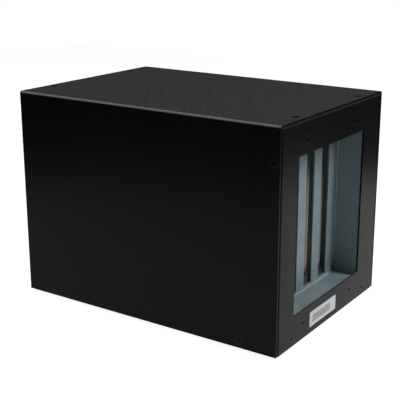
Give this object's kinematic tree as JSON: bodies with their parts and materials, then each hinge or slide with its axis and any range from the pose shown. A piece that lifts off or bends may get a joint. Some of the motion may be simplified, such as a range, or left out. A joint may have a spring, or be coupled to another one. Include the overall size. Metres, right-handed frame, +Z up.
{
  "type": "pcie expansion chassis",
  "caption": "Desktop box for expansion cards, with a recessed row of covered card slots at one end and a fan, a rocker switch and cable sockets at the other.",
  "frame": {"origin": "middle of the bounding box, on the surface that the feet stand on", "axes": "+X towards the end with the card slots, +Y to the right of someone who faces that end, +Z up"},
  "size_m": [0.2, 0.135, 0.14],
  "materials": {
    "powder_black": "fine-texture powder coat",
    "zinc_steel": "satin zinc-plated sheet",
    "nickel_steel": "bright nickel plate",
    "screw_steel": "plated screw",
    "screw_black": "black oxide",
    "rubber_black": "matt moulded rubber",
    "board_green": "green solder mask over glass laminate",
    "brass_plain": "plain turned brass",
    "socket_black": "moulded connector body",
    "chip_black": "moulded chip package",
    "fin_aluminium": "extruded, clear anodised",
    "capacitor_sleeve": "shrunk sleeve",
    "coil_grey": "pressed ferrite powder",
    "header_cream": "unfilled nylon",
    "fan_black": "moulded, fine spark texture",
    "link_steel": "tin-plated sheet",
    "switch_black": "moulded, semi-gloss",
    "lamp_green": "tinted clear moulding"
  },
  "bodies": {
    "case": {"cover": "powder_black", "base_tray": "powder_black", "slot_end_panel": "powder_black", "port_end_panel": "powder_black", "slot_bracket": "zinc_steel", "bracket_guide": "zinc_steel", "slot_cover_1": "nickel_steel", "slot_cover_2": "nickel_steel", "slot_cover_3": "nickel_steel", "slot_cover_4": "nickel_steel", "slot_cover_screws": "screw_steel", "bracket_screws": "screw_black", "cover_side_screws": "screw_black", "cover_top_screws": "screw_black", "tray_end_screws": "screw_black", "fan_screws": "screw_black", "board_screws": "screw_steel", "foot_1": "rubber_black", "foot_2": "rubber_black", "foot_3": "rubber_black", "foot_4": "rubber_black", "backplane_board": "board_green", "board_standoffs": "brass_plain", "card_socket_1": "socket_black", "card_socket_2": "socket_black", "card_socket_3": "socket_black", "card_socket_4": "socket_black", "bridge_chip": "chip_black", "bridge_heatsink": "fin_aluminium", "capacitors": "capacitor_sleeve", "power_coils": "coil_grey", "fan_header": "header_cream", "fan_frame": "fan_black", "dc_inlet": "socket_black", "link_shell": "link_steel", "link_insert": "socket_black", "switch_housing": "switch_black", "switch_terminals": "brass_plain", "power_lamp": "lamp_green"},
    "fan": {"fan_rotor": "fan_black"},
    "rocker": {"power_rocker": "switch_black"}
  },
  "joints": [
    {"name": "fan_spin", "type": "hinge", "parent": "case", "child": "fan", "pos_m": [-0.088, 0.018, 0.091], "axis": [1, 0, 0], "continuous": true},
    {"name": "rocker_tilt", "type": "hinge", "parent": "case", "child": "rocker", "pos_m": [-0.0956, -0.048, 0.0385], "axis": [0, 1, 0], "range_deg": [0, 18]}
  ]
}
